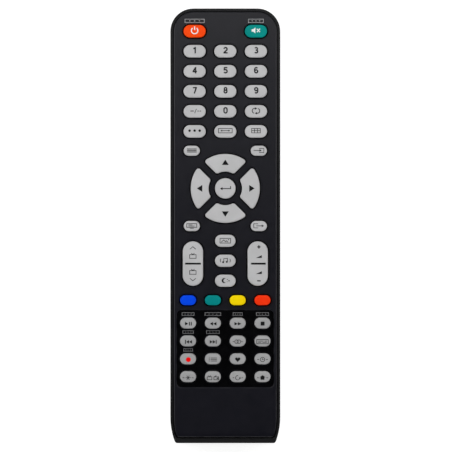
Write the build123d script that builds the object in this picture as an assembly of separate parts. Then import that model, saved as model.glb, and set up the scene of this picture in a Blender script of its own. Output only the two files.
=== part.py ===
from build123d import *
from math import acos, ceil
import os

# A slim television remote control, lying on its back with its keys up.
# X runs across it, Y towards the head end that points at the screen, and Z up.
# The origin is on the surface that it lies on, under the middle. Sizes are in millimetres.

# Case, seen from above
case_length = 190.0
case_width = 48.0
head_corner = 10.0
taper_length = 11.4
taper_depth = 2.2
tail_corner = 1.3

# Case walls and the shadow groove round its face
wall = 2.0
floor_thickness = 2.0
face_thickness = 2.0
rim = 1.1
tail_rim = 2.2
groove = 0.4
rim_drop = 0.6
side_round = 6.5
end_round = 5.0
face_bevel = 0.4
tail_slope_length = 5.0
tail_slope_drop = 1.2
lip_thickness = 1.0
lip_depth = 2.3
snap_count = 4
snap_first = 70.0
snap_pitch = 45.0
snap_length = 6.0
snap_height = 0.8
snap_bite = 0.3

# Running and fitting clearances
key_clearance = 0.3
rocker_clearance = 0.5
fit = 0.25
rub = 0.1

# Keys
key_travel = 1.0
key_stand = 1.6
key_bevel = 0.35
foot_thickness = 0.7
foot_margin = 0.6
number_key = (9.8, 5.7)
side_key = (7.15, 4.6)
mode_key = (9.1, 5.5)
colour_key = (7.1, 4.5)
panel_key = (7.1, 4.95)
rocker = (9.0, 19.8)
enter_diameter = 9.1
pad_outer = 15.15
pad_inner = 7.27
pad_gap = 3.5
pad_outer_corner = 1.2
pad_inner_corner = 0.8
ear_length = 5.0
peg_place = 6.8
peg = (3.0, 2.6)
fulcrum = 1.2

# Key places: across as shares of half the width or in from the side, and along from the head edge
number_share = 0.558
first_row = 10.0
row_pitch = 8.75
side_share = 0.61
pad_place = 78.65
side_key_reach = 16.45
mode_place = 101.55
mode_pitch = 8.72
rocker_share = 0.59
rocker_place = 111.5
colour_place = 127.5
small_key_side = 7.75
panel_first_row = 137.5
panel_pitch = 7.8
panel_margin = 5.15
panel_side = 2.6
panel_corner = 2.0
panel_depth = 0.4

# Power: two cells of the 10.5 x 44.5 mm size, side by side
cell_diameter = 10.5
cell_length = 44.5
nub_diameter = 3.8
nub_length = 0.9
cell_gap = 0.5
cell_play = 0.45
ceiling_thickness = 1.2
cradle_wall = 1.2
contact_thickness = 0.4
contact_width = 8.6
contact_height = 8.4
leaf_width = 4.6
leaf_reach = 5.1
bump_diameter = 5.0
bump_height = 0.5
tab_width = 1.6

# Battery cover
cover_length = 70.0
cover_side = 8.0
cover_thickness = 1.8
cover_recess = 0.2
cover_end = 1.6
cover_end_height = 9.0
tongue_reach = 1.2
tongue_thickness = 0.9
catch_width = 8.0
catch_reach = 1.5
thumb_grips = 6
thumb_place = 8.0
thumb_pitch = 1.8
thumb_depth = 0.5
thumb_half_width = 6.0

# Inside
board_gap = 0.7
board_thickness = 1.2
mat_thickness = 0.8
board_margin = 0.5
board_tail = 7.0
mat_margin = 0.35
support_count = 4
support_first = 74.0
support_pitch = 30.0
support_rib = 1.2
support_half_gap = 12.0
chip_size = (8.0, 13.0, 2.2)
chip_place = 44.0
resonator_size = (10.0, 4.0, 3.6)
resonator_gap = 13.0
capacitor_diameter = 6.3
capacitor_length = 11.0
resistor_count = 3
resistor_size = (3.2, 1.6, 0.6)
resistor_gap = 2.9
resistor_pitch = 4.0

# Infrared window and the lamp behind it
window_width = 14.0
window_height = 6.4
window_ledge = 0.8
window_flange = 1.0
lamp_diameter = 5.0
lamp_length = 8.6
lamp_flange = 5.8
lead_spread = 2.54
lead_width = 0.5
lead_reach = 2.5

# The outlines of the keys are drawn with flats, which may leave their arcs by this much
flat_error = 0.125

# Heights, worked out from the surface upwards
cover_inside = cover_recess + cover_thickness
cell_bottom = cover_inside + key_clearance
cell_axis = cell_bottom + cell_diameter / 2
ceiling_under = cell_bottom + cell_diameter + cell_play
ceiling_top = ceiling_under + ceiling_thickness
board_under = ceiling_top + board_gap
board_top = board_under + board_thickness
mat_top = board_top + mat_thickness
foot_bottom = mat_top + rub + key_travel
face_under = foot_bottom + foot_thickness
face_top = face_under + face_thickness
rim_top = face_top - rim_drop
key_top = face_top + key_stand
plunger_bottom = board_top + rub + key_travel

# Places across the case
number_spread = number_share * case_width / 2
side_spread = side_share * case_width / 2
rocker_spread = rocker_share * case_width / 2
small_spread = (case_width / 2 - small_key_side) / 1.5
panel_half_width = case_width / 2 - panel_side
cover_half_width = case_width / 2 - cover_side
resistor_place = (chip_size[0] + resistor_size[0]) / 2 + resistor_gap

# Places along the case
head_edge = case_length / 2
tail_edge = -case_length / 2
cover_front = tail_edge + cover_length
bay_tail = tail_edge + end_round + wall
nub_end = contact_thickness + bump_height + rub
spring_end = contact_thickness + leaf_reach
bay_head = bay_tail + nub_end + cell_length + spring_end
cell_spread = (cell_diameter + cell_gap) / 2
bay_half_width = cell_spread + cell_diameter / 2 + cell_play
panel_head = head_edge - panel_first_row + panel_margin
panel_tail = head_edge - panel_first_row - 3 * panel_pitch - panel_margin
tab_places = (-cell_spread, cell_spread)
lamp_axis = board_under - window_height / 2 - 2 * rub
taper_radius = (taper_length**2 + taper_depth**2) / (2 * taper_depth)


def plan(inset, tail_inset, corner):
    # The case seen from above, drawn in by an inset, with a wider one at the tail
    half = case_width / 2 - inset
    head = head_edge - inset
    tail = tail_edge + tail_inset
    taper_start = tail_edge + taper_length
    bend_centre = case_width / 2 - taper_radius
    tail_half = bend_centre + ((taper_radius - inset) ** 2 - (taper_start - tail) ** 2) ** 0.5
    corner_start = case_width / 2 - head_corner
    corner_end = head_edge - head_corner
    side = Line((0, head), (corner_start, head))
    side += TangentArc((corner_start, head), (half, corner_end), tangent=(1, 0))
    side += Line((half, corner_end), (half, taper_start))
    side += TangentArc((half, taper_start), (tail_half, tail), tangent=(0, -1))
    side += Line((tail_half, tail), (0, tail))
    outline = make_face(side + mirror(side, Plane.YZ))
    tail_points = outline.vertices().group_by(Axis.Y)[0].sort_by(Axis.X)
    return fillet([tail_points[0], tail_points[-1]], corner)


def with_flats(outline):
    # The same outline with each arc as equal flats
    points = []
    for edge in outline.face().outer_wire().order_edges():
        flats = 1
        if edge.geom_type == GeomType.CIRCLE:
            widest_turn = 2 * acos(1 - flat_error / edge.radius)
            flats = ceil(edge.length / edge.radius / widest_turn)
        points += [edge @ (step / flats) for step in range(flats)]
    return make_face(Polyline(points, close=True))


def between(outline, low, high):
    # A straight body from one height to another
    return Pos(0, 0, low) * extrude(outline, amount=high - low)


def block(x_range, y_range, z_range):
    # A block given by its ranges
    corner = (x_range[0], y_range[0], z_range[0])
    size = (x_range[1] - x_range[0], y_range[1] - y_range[0], z_range[1] - z_range[0])
    return Pos(*corner) * Box(*size, align=(Align.MIN, Align.MIN, Align.MIN))


def pill(size, grow):
    # The outline of a round-ended key, grown all round
    width = size[0] + 2 * grow
    length = size[1] + 2 * grow
    if width > length:
        return with_flats(SlotOverall(width, length))
    return with_flats(SlotOverall(length, width, rotation=90))


def pad_arc(grow):
    # One arm of the direction pad, pointing to the head: a ring cut off by two slanting sides
    tip = (pad_gap / 2 - grow) * 2**0.5
    reach = 2 * pad_outer
    sides = make_face(Polyline((0, tip), (reach, tip + reach), (-reach, tip + reach), close=True))
    arm = (Circle(pad_outer + grow) - Circle(pad_inner - grow)) & sides
    from_centre = arm.vertices().sort_by(lambda point: Vector(*point).length)
    arm = fillet(from_centre[2:], pad_outer_corner + grow)
    from_centre = arm.vertices().sort_by(lambda point: Vector(*point).length)
    arm = fillet(from_centre[:2], pad_inner_corner)
    return with_flats(arm)


def tail_slope(height):
    # What is cut off above a face that bends down towards the tail edge
    start = tail_edge + tail_slope_length
    top = height + face_thickness
    line = TangentArc((start, height), (tail_edge, height - tail_slope_drop), tangent=(-1, 0))
    line += Line((tail_edge, height - tail_slope_drop), (tail_edge - groove, height - tail_slope_drop))
    line += Line((tail_edge - groove, height - tail_slope_drop), (tail_edge - groove, top))
    line += Line((tail_edge - groove, top), (start, top))
    line += Line((start, top), (start, height))
    side = Plane.YZ * make_face(line)
    return extrude(side, amount=case_width / 2 + groove, both=True)


def key_body(outline, foot_size, plunger_size):
    # A cap with bevelled upper edges, the foot that holds it under the face, and its plunger
    cap = between(outline, face_under, key_top)
    cap = chamfer(cap.faces().sort_by(Axis.Z)[-1].edges(), key_bevel)
    foot = between(Rectangle(*foot_size), foot_bottom, face_under)
    plunger = between(Rectangle(*plunger_size), plunger_bottom, foot_bottom)
    return cap + foot + plunger


def plunger_of(size):
    # A plunger takes up the middle of its key
    return (size[0] / 2, size[1] / 2)


def simple_key(size):
    foot_size = (size[0] + 2 * foot_margin, size[1] + 2 * foot_margin)
    return key_body(pill(size, 0), foot_size, plunger_of(size))


# Every key that slides: its place and its size
key_places = {}
number_rows = (
    ("power_key", None, "mute_key"),
    ("digit_1_key", "digit_2_key", "digit_3_key"),
    ("digit_4_key", "digit_5_key", "digit_6_key"),
    ("digit_7_key", "digit_8_key", "digit_9_key"),
    ("dash_key", "digit_0_key", "recall_key"),
    ("function_key", "aspect_key", "guide_key"),
)
for row, names in enumerate(number_rows):
    for column, name in enumerate(names):
        if name:
            place = (number_spread * (column - 1), head_edge - first_row - row * row_pitch)
            key_places[name] = (place, number_key)

for name, across, along in (
    ("menu_key", -side_spread, side_key_reach),
    ("input_key", side_spread, side_key_reach),
    ("display_key", -side_spread, -side_key_reach),
    ("exit_key", side_spread, -side_key_reach),
):
    key_places[name] = ((across, head_edge - pad_place + along), side_key)

for row, name in enumerate(("picture_mode_key", "sound_mode_key", "sleep_key")):
    key_places[name] = ((0, head_edge - mode_place - row * mode_pitch), mode_key)

small_rows = (
    ("blue_key", "green_key", "yellow_key", "red_key"),
    ("play_pause_key", "rewind_key", "fast_forward_key", "stop_key"),
    ("previous_key", "next_key", "audio_key", "subtitle_key"),
    ("record_key", "list_key", "favourite_key", "timeshift_key"),
    ("freeze_key", "tv_radio_key", "auto_key", "home_key"),
)
for row, names in enumerate(small_rows):
    along = head_edge - colour_place if row == 0 else head_edge - panel_first_row - (row - 1) * panel_pitch
    size = colour_key if row == 0 else panel_key
    for column, name in enumerate(names):
        key_places[name] = ((small_spread * (column - 1.5), along), size)

pad_centre = (0, head_edge - pad_place)
pad_turns = {"up_key": 0, "left_key": 90, "down_key": 180, "right_key": 270}
rocker_places = {
    "channel_rocker": (-rocker_spread, head_edge - rocker_place),
    "volume_rocker": (rocker_spread, head_edge - rocker_place),
}


def at(place):
    return Pos(place[0], place[1], 0)


def make_keys():
    keys = {}
    bodies = {}
    for name, (place, size) in key_places.items():
        if size not in bodies:
            bodies[size] = simple_key(size)
        keys[name] = at(place) * bodies[size]
    return keys


def make_pad_keys():
    # Four arms round a round key
    middle = (pad_outer + pad_inner) / 2
    cap = between(pad_arc(0), face_under, key_top)
    cap = chamfer(cap.faces().sort_by(Axis.Z)[-1].edges(), key_bevel)
    foot = between(pad_arc(foot_margin), foot_bottom, face_under)
    plunger = Pos(0, middle, 0) * between(Rectangle(*peg), plunger_bottom, foot_bottom)
    arm = cap + foot + plunger
    keys = {name: at(pad_centre) * Rot(0, 0, turn) * arm for name, turn in pad_turns.items()}
    foot_size = (enter_diameter + 2 * foot_margin,) * 2
    round_outline = with_flats(Circle(enter_diameter / 2))
    keys["enter_key"] = at(pad_centre) * key_body(round_outline, foot_size, peg)
    return keys


def make_rockers():
    # A long cap that tips on a rib under its middle, held by an ear on each side
    cap = between(pill(rocker, 0), foot_bottom, key_top)
    cap = chamfer(cap.faces().sort_by(Axis.Z)[-1].edges(), key_bevel)
    ears = between(Rectangle(rocker[0] + 2 * foot_margin, ear_length), foot_bottom, face_under - fit)
    rib = between(Rectangle(rocker[0] / 2, fulcrum), mat_top + rub, foot_bottom)
    body = cap + ears + rib
    for side in (-1, 1):
        body += Pos(0, side * peg_place, 0) * between(Rectangle(*peg), plunger_bottom, foot_bottom)
    return {name: at(place) * body for name, place in rocker_places.items()}


def key_openings(grow, long_grow):
    # The outlines of every opening that a key stands in
    outlines = [at(place) * pill(size, grow) for place, size in key_places.values()]
    outlines += [at(pad_centre) * Rot(0, 0, turn) * pad_arc(grow) for turn in pad_turns.values()]
    outlines.append(at(pad_centre) * with_flats(Circle(enter_diameter / 2 + grow)))
    outlines += [at(place) * pill(rocker, long_grow) for place in rocker_places.values()]
    return outlines


def make_top_case():
    # The face plate, let into the rim of the bottom case, with a lip below that locates it
    edge = rim + groove
    plate = between(plan(edge, tail_rim + groove, tail_corner), face_under, face_top)
    plate = chamfer(plate.faces().sort_by(Axis.Z)[-1].edges(), face_bevel)
    plate -= tail_slope(face_top)
    panel = Pos(0, (panel_head + panel_tail) / 2, 0) * RectangleRounded(
        2 * panel_half_width, panel_head - panel_tail, panel_corner
    )
    plate -= between(panel, face_top - panel_depth, face_top + groove)
    lip_outside = wall + fit
    lip_inside = lip_outside + lip_thickness
    lip = plan(lip_outside, tail_rim + groove + fit, tail_corner)
    lip -= plan(lip_inside, tail_rim + groove + fit + lip_thickness, tail_corner)
    plate += between(lip, face_under - lip_depth, face_under)
    plate += snaps(0)
    openings = key_openings(key_clearance, rocker_clearance)
    return plate - [between(outline, face_under - rub, face_top + rub) for outline in openings]


def inside_cover(grow):
    # The space within the battery cover: over its plate and in front of its end wall
    tail = tail_edge + cover_end + grow
    low = cover_inside + grow
    space = block((-case_width, case_width), (tail, head_edge), (low, key_top))
    corner = space.edges().filter_by(Axis.X).group_by(Axis.Y)[0].sort_by(Axis.Z)[0]
    return fillet(corner, end_round - cover_thickness - grow)


def cover_space(grow):
    # The plate and end wall of the cover, with a tongue along each side and a catch in front
    half = cover_half_width + grow
    front = cover_front + grow
    end_top = cover_end_height + grow
    space = block((-half, half), (tail_edge - wall, front), (-grow, end_top)) - inside_cover(grow)
    tongue_low = cover_inside - tongue_thickness - grow
    reach = cover_half_width + tongue_reach + grow
    space += block((-reach, reach), (tail_edge - wall, front), (tongue_low, cover_inside + grow))
    catch = catch_width / 2 + grow
    catch_along = (cover_front - wall, front + catch_reach)
    space += block((-catch, catch), catch_along, (tongue_low, cover_inside + grow))
    return space


def make_cover():
    # The sliding battery cover, which takes up the tail end of the case's underside
    cover = cover_space(0) & (Pos(0, 0, cover_recess) * outer_form())
    groove_top = cover_recess + thumb_depth
    first = cover_front - thumb_place
    for step in range(thumb_grips):
        along = first - step * thumb_pitch
        reach = thumb_half_width * (1 - step / (2 * thumb_grips))
        cover -= block((-reach, reach), (along - thumb_pitch / 2, along), (0, groove_top))
    return cover


def outer_form():
    # The bottom case as a solid block, with its rounded underside
    half = case_width / 2
    bar = block((-half, half), (tail_edge, head_edge), (0, rim_top))
    rounded_sides = fillet(bar.edges().filter_by(Axis.Y).group_by(Axis.Z)[0], side_round)
    rounded_ends = fillet(bar.edges().filter_by(Axis.X).group_by(Axis.Z)[0], end_round)
    form = between(plan(0, 0, tail_corner), 0, rim_top) & rounded_sides & rounded_ends
    return form - tail_slope(rim_top)


def snaps(grow):
    # Catches along the lip of the top case, which click into the wall of the bottom case
    inner = case_width / 2 - wall - fit - lip_thickness / 2
    outer = case_width / 2 - wall + snap_bite + grow
    low = face_under - lip_depth + fit - grow
    catches = []
    for step in range(snap_count):
        middle = snap_first - step * snap_pitch
        along = (middle - snap_length / 2 - grow, middle + snap_length / 2 + grow)
        for side in (-1, 1):
            across = sorted((side * inner, side * outer))
            catches.append(block(across, along, (low, low + snap_height + 2 * grow)))
    return catches


def window_block(grow):
    # The opening for the infrared window in the head wall
    half = window_width / 2 + grow
    low = lamp_axis - window_height / 2 - grow
    high = lamp_axis + window_height / 2 + grow
    return block((-half, half), (head_edge - wall - rub, head_edge + rub), (low, high))


def make_bottom_case():
    # A tub with a rim round its top, a battery bay at its tail and ribs that carry the board
    form = outer_form()
    half = case_width / 2 - wall
    inside = block((-half, half), (tail_edge + tail_rim, head_edge - wall), (floor_thickness, face_top))
    inside = chamfer(inside.faces().sort_by(Axis.Z)[0].edges(), end_round - wall)
    inside &= between(plan(wall, tail_rim, tail_corner), floor_thickness, face_top)
    seat = between(plan(rim, tail_rim, tail_corner), face_under, face_top + groove)
    case = form - inside - seat

    tray_half = cover_half_width + tongue_reach + fit + wall
    tray_front = cover_front + catch_reach + fit + wall
    tray_top = cover_end_height + fit + cradle_wall
    tray = block((-tray_half, tray_half), (tail_edge, tray_front), (0, tray_top)) & form
    case += tray - inside_cover(fit + cradle_wall)

    bay_wall = bay_half_width + cradle_wall
    bay_ends = (bay_tail - cradle_wall, bay_head + cradle_wall)
    case += block((-bay_wall, bay_wall), bay_ends, (cover_inside + fit, ceiling_top))
    case -= cover_space(fit)
    case -= block((-bay_half_width, bay_half_width), (bay_tail, bay_head), (0, ceiling_under))
    for across in tab_places:
        slot = tab_width / 2 + fit
        case -= block(
            (across - slot, across + slot),
            (bay_head - contact_thickness - fit, bay_head),
            (ceiling_under - rub, ceiling_top + rub),
        )

    rib_half = case_width / 2 - rim
    for step in range(support_count):
        along = support_first - step * support_pitch
        rib_along = (along - support_rib / 2, along + support_rib / 2)
        rib = block((-rib_half, rib_half), rib_along, (0, board_under))
        middle = block(
            (-support_half_gap, support_half_gap),
            (along - support_rib, along + support_rib),
            (floor_thickness, board_under + rub),
        )
        case += (rib & form) - middle

    case -= snaps(fit)
    return case - window_block(rub)


def make_window():
    # A dark lens let into the head wall, with a flange behind it
    half = window_width / 2 + window_ledge
    low = lamp_axis - window_height / 2 - window_ledge
    high = lamp_axis + window_height / 2
    back = head_edge - wall
    lens = window_block(0) & block((-half, half), (back, head_edge), (low, high))
    return lens + block((-half, half), (back - window_flange, back), (low, high))


def turned(profile_points, along, across, height):
    # A round body about a line along the case, from points given as along, radius
    profile = make_face(Polyline(profile_points, close=True))
    body = revolve(profile, Axis.X)
    return Pos(across, along, height) * Rot(0, 0, 90) * body


def make_cells():
    # Each cell has a nub at one end, and the two lie opposite ways
    radius = cell_diameter / 2
    nub = nub_diameter / 2
    can = cell_length - nub_length
    profile = ((0, 0), (0, radius), (can, radius), (can, nub), (cell_length, nub), (cell_length, 0))
    forward = turned(profile, bay_head - nub_end - cell_length, -cell_spread, cell_axis)
    backward = turned(profile, -(bay_tail + nub_end + cell_length), -cell_spread, cell_axis)
    return [forward, Rot(0, 0, 180) * backward]


def contact_plate(across, width):
    # A plate against the head end of the bay
    half = width / 2
    return block(
        (across - half, across + half),
        (bay_head - contact_thickness, bay_head),
        (cell_axis - contact_height / 2, cell_axis + contact_height / 2),
    )


def leaf_spring(across):
    # A bent strip that rises from the plate to press on the flat end of a cell
    low = cell_axis - contact_height / 2
    high = cell_axis + contact_height / 2
    base = bay_head - contact_thickness
    tip = base - leaf_reach
    strip = contact_thickness
    outline = Polyline(
        (base, low),
        (tip, cell_axis - strip),
        (tip, cell_axis + strip),
        (base - 3 * strip, high),
        (base - 2 * strip, high),
        (tip + strip, cell_axis),
        (base, low + 2 * strip),
        close=True,
    )
    return Pos(across, 0, 0) * extrude(Plane.YZ * make_face(outline), amount=leaf_width / 2, both=True)


def bump(across):
    # The raised pad that meets the nub of a cell
    pad = Cylinder(bump_diameter / 2, bump_height, align=(Align.CENTER, Align.CENTER, Align.MIN))
    return Pos(across, bay_head - contact_thickness, cell_axis) * Rot(90, 0, 0) * pad


def make_contacts():
    # Two contacts with tabs up to the board at the head end, and one bridge at the tail end
    contacts = []
    for across in tab_places:
        contact = contact_plate(across, contact_width)
        contact += block(
            (across - tab_width / 2, across + tab_width / 2),
            (bay_head - contact_thickness, bay_head),
            (cell_axis, board_under),
        )
        contact += bump(across) if across < 0 else leaf_spring(across)
        contacts.append(contact)
    bridge = contact_plate(0, contact_width + 2 * cell_spread)
    bridge += bump(-cell_spread)
    bridge += leaf_spring(cell_spread)
    middle = (bay_head + bay_tail) / 2
    contacts.append(Pos(0, middle, 0) * Rot(0, 0, 180) * Pos(0, -middle, 0) * bridge)
    return contacts


def make_board():
    outline = plan(wall + board_margin, board_tail, tail_corner)
    return between(outline, board_under, board_top)


def make_mat():
    # The rubber mat that lies on the board, open under each key's plunger
    inset = wall + fit + lip_thickness + mat_margin
    mat = between(plan(inset, board_tail + mat_margin, tail_corner), board_top, mat_top)
    holes = []
    for place, size in key_places.values():
        holes.append(at(place) * mat_hole(plunger_of(size)))
    middle = (pad_outer + pad_inner) / 2
    for turn in pad_turns.values():
        holes.append(at(pad_centre) * Rot(0, 0, turn) * Pos(0, middle) * mat_hole(peg))
    holes.append(at(pad_centre) * mat_hole(peg))
    for place in rocker_places.values():
        for side in (-1, 1):
            holes.append(at(place) * Pos(0, side * peg_place) * mat_hole(peg))
    return mat - [between(hole, board_top - rub, mat_top + rub) for hole in holes]


def mat_hole(size):
    return Rectangle(size[0] + 2 * key_clearance, size[1] + 2 * key_clearance)


def hanging_block(size, across, along):
    # A block-shaped component under the board
    return Pos(across, along, board_under) * Box(*size, align=(Align.CENTER, Align.CENTER, Align.MAX))


def make_components():
    # The controller chip, its resonator, a capacitor, chip resistors and the infrared lamp
    pieces = [hanging_block(chip_size, 0, chip_place)]
    pieces.append(hanging_block(resonator_size, 0, chip_place - resonator_gap))
    radius = capacitor_diameter / 2
    can = extrude(with_flats(Circle(radius)), amount=capacitor_length)
    pieces.append(Pos(0, chip_place + resonator_gap, board_under - radius - rub) * Rot(-90, 0, 0) * can)
    for step in range(resistor_count):
        along = chip_place + (step - 1) * resistor_pitch
        pieces.append(hanging_block(resistor_size, resistor_place, along))

    back = head_edge - wall - window_flange - rub - lamp_length
    lamp = extrude(with_flats(Circle(lamp_diameter / 2)), amount=lamp_length)
    lamp = chamfer(lamp.faces().sort_by(Axis.Z)[-1].edges(), lamp_diameter / 4)
    lamp += extrude(with_flats(Circle(lamp_flange / 2)), amount=lead_width)
    lamp = Pos(0, back, lamp_axis) * Rot(-90, 0, 0) * lamp
    half = lead_width / 2
    bend = back - lead_reach
    for side in (-1, 1):
        across = side * lead_spread / 2
        lead = (across - half, across + half)
        lamp += block(lead, (bend, back), (lamp_axis - half, lamp_axis + half))
        lamp += block(lead, (bend, bend + lead_width), (lamp_axis, board_under))
    pieces.append(lamp)
    return pieces


nodes = {
    "top_case": make_top_case(),
    "bottom_case": make_bottom_case(),
    "battery_cover": make_cover(),
    "infrared_window": make_window(),
    "circuit_board": make_board(),
    "keypad_mat": make_mat(),
    "board_components": Compound(children=make_components()),
    "battery_contacts": Compound(children=make_contacts()),
    "batteries": Compound(children=make_cells()),
}
nodes.update(make_keys())
nodes.update(make_pad_keys())
nodes.update(make_rockers())

os.makedirs("parts", exist_ok=True)
for name, piece in nodes.items():
    export_step(piece, f"parts/{name}.step")
print(len(nodes), "pieces, overall height", key_top)
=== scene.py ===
import math

import bpy
from mathutils import Matrix, Vector


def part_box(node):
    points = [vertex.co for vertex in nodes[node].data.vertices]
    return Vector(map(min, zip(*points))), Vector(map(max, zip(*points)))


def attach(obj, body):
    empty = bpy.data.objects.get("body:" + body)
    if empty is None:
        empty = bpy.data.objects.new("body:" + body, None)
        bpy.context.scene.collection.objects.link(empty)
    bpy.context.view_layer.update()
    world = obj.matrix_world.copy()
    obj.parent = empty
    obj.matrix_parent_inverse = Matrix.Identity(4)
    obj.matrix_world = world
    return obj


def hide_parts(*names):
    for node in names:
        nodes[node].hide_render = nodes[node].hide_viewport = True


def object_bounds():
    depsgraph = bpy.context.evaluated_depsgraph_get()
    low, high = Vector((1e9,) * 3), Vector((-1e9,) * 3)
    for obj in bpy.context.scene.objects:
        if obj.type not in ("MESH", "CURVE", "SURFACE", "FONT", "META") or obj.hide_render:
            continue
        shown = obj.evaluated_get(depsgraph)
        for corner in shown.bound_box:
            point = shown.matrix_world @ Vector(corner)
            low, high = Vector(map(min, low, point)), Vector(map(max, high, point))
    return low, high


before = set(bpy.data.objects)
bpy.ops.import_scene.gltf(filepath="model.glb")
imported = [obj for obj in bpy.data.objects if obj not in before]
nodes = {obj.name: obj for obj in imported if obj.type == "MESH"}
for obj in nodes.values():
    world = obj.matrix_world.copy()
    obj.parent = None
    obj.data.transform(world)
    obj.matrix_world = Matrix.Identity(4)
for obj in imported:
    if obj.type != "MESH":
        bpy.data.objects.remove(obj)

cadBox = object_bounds()
mm = 0.001
hair = 0.001 * mm              # points closer than this are one point
near = 0.01 * mm               # and levels closer than this are one level


# Small helpers, in the words of the edit menus

facing = {
    "up": 0.8,                 # the normal of a face that looks up reaches at least this far up
    "sideways": 0.05,          # and that of one that looks sideways less than this
}
shading = {
    "roundUpTo": 35,           # degrees between two faces that are shaded as one
    "flatCorners": 12,         # a face with more corners than this is a flat
    "flatNormal": 0.9999,      # and so is one that looks straight up or down
}


def clearSelection():
    if bpy.context.object and bpy.context.object.mode != "OBJECT":
        bpy.ops.object.mode_set(mode="OBJECT")
    bpy.ops.object.select_all(action="DESELECT")


def select(*pieces):
    clearSelection()
    for piece in pieces:
        piece.select_set(True)
    bpy.context.view_layer.objects.active = pieces[0]


def applyPlace(piece):
    select(piece)
    bpy.ops.object.transform_apply(location=True, rotation=True, scale=True)


def pick(piece, kind, test):
    # goes into edit mode with the points, edges or faces that pass the test selected
    select(piece)
    groups = {"VERT": piece.data.vertices, "EDGE": piece.data.edges, "FACE": piece.data.polygons}
    for group in groups.values():
        group.foreach_set("select", [False] * len(group))
    bpy.context.tool_settings.mesh_select_mode = tuple(kind == each for each in groups)
    for item in groups[kind]:
        item.select = test(item)
    bpy.ops.object.mode_set(mode="EDIT")


def pickAll(piece):
    pick(piece, "FACE", lambda face: True)


def endsOf(piece, edge):
    return [piece.data.vertices[end].co for end in edge.vertices]


def isUp(face):
    return face.normal.z > facing["up"]


def isDown(face):
    return face.normal.z < -facing["up"]


def extent(points):
    # the lowest and highest corners of a box round the points
    sides = [[point.co[axis] for point in points] for axis in range(3)]
    return Vector([min(side) for side in sides]), Vector([max(side) for side in sides])


def shift(piece, test, x=0, y=0, z=0):
    pick(piece, "VERT", test)
    bpy.ops.transform.translate(value=(x, y, z))
    clearSelection()


def stretch(piece, test, value, centre=(0, 0, 0)):
    pick(piece, "VERT", test)
    bpy.ops.transform.resize(value=value, center_override=centre)
    clearSelection()


def extrude(x=0, y=0, z=0):
    bpy.ops.mesh.extrude_region_move(TRANSFORM_OT_translate={"value": (x, y, z)})


def bevel(piece, test, radius, steps):
    pick(piece, "EDGE", test)
    bpy.ops.mesh.bevel(offset=radius, segments=steps, affect="EDGES")
    clearSelection()


def done(piece, smoothAngle=shading["roundUpTo"]):
    # shades what is round as round and large flats as flat
    select(piece)
    bpy.ops.object.shade_smooth_by_angle(angle=math.radians(smoothAngle))
    for face in piece.data.polygons:
        if len(face.vertices) > shading["flatCorners"] or abs(face.normal.z) > shading["flatNormal"]:
            face.use_smooth = False
    select(piece)
    even = piece.modifiers.new("even", "WEIGHTED_NORMAL")
    even.keep_sharp = True
    bpy.ops.object.modifier_apply(modifier=even.name)


def cutWith(piece, cutter):
    select(piece)
    cut = piece.modifiers.new("cut", "BOOLEAN")
    cut.operation = "DIFFERENCE"
    cut.solver = "EXACT"
    cut.object = cutter
    bpy.ops.object.modifier_apply(modifier=cut.name)
    bpy.data.objects.remove(cutter, do_unlink=True)


def joined(pieces):
    select(*pieces)
    if len(pieces) > 1:
        bpy.ops.object.join()
    return bpy.context.object


def linked(name, data):
    piece = bpy.data.objects.new(name, data)
    bpy.context.scene.collection.objects.link(piece)
    return piece


def copyOf(piece, name):
    return linked(name, piece.data.copy())


def moved(piece, x, y, z=0):
    piece.location = (x, y, z)
    applyPlace(piece)
    return piece


def cube(x, y, width, length, low, high):
    bpy.ops.mesh.primitive_cube_add(size=1, location=(x, y, (low + high) / 2),
                                    scale=(width, length, high - low))
    piece = bpy.context.object
    applyPlace(piece)
    return piece


def cylinder(steps, radius, low, high):
    # upright, with a flat of its outline on each side
    bpy.ops.mesh.primitive_cylinder_add(
        vertices=steps, radius=radius, depth=high - low, end_fill_type="NGON",
        location=(0, 0, (low + high) / 2), rotation=(0, 0, math.pi / steps))
    piece = bpy.context.object
    applyPlace(piece)
    return piece


def shaderNode(tree, kind, values=()):
    node = tree.nodes.new("ShaderNode" + kind)
    for socket, value in dict(values).items():
        node.inputs[socket].default_value = value
    return node


def wire(tree, *pairs):
    for start, end in pairs:
        tree.links.new(start, end)


# Camera, straight above

photoFrame = {
    "width": 452,              # pixels
    "middle": (225.3, 225.85),   # the pixel over the middle of the remote control
    "mmPerPixel": 0.4375,
    "distance": 2000,          # mm above the face
    "level": 18,               # mm, the height at which that scale was measured
    "sensor": 36,              # mm
    "farClip": 10,             # m
}


def makeCamera():
    pixel = photoFrame["mmPerPixel"] * mm
    centre = photoFrame["width"] / 2
    across = (centre - photoFrame["middle"][0]) * pixel
    along = (photoFrame["middle"][1] - centre) * pixel
    height = (photoFrame["distance"] + photoFrame["level"]) * mm
    bpy.ops.object.camera_add(location=(across, along, height), rotation=(0, 0, 0))
    camera = bpy.context.object
    lensShare = photoFrame["distance"] * mm / (photoFrame["width"] * pixel)
    camera.data.sensor_width = photoFrame["sensor"]
    camera.data.lens = photoFrame["sensor"] * lensShare
    camera.data.clip_end = photoFrame["farClip"]
    bpy.context.scene.camera = camera


clearSelection()
makeCamera()
print("camera in place")


# Floor, world and lamps

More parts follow.
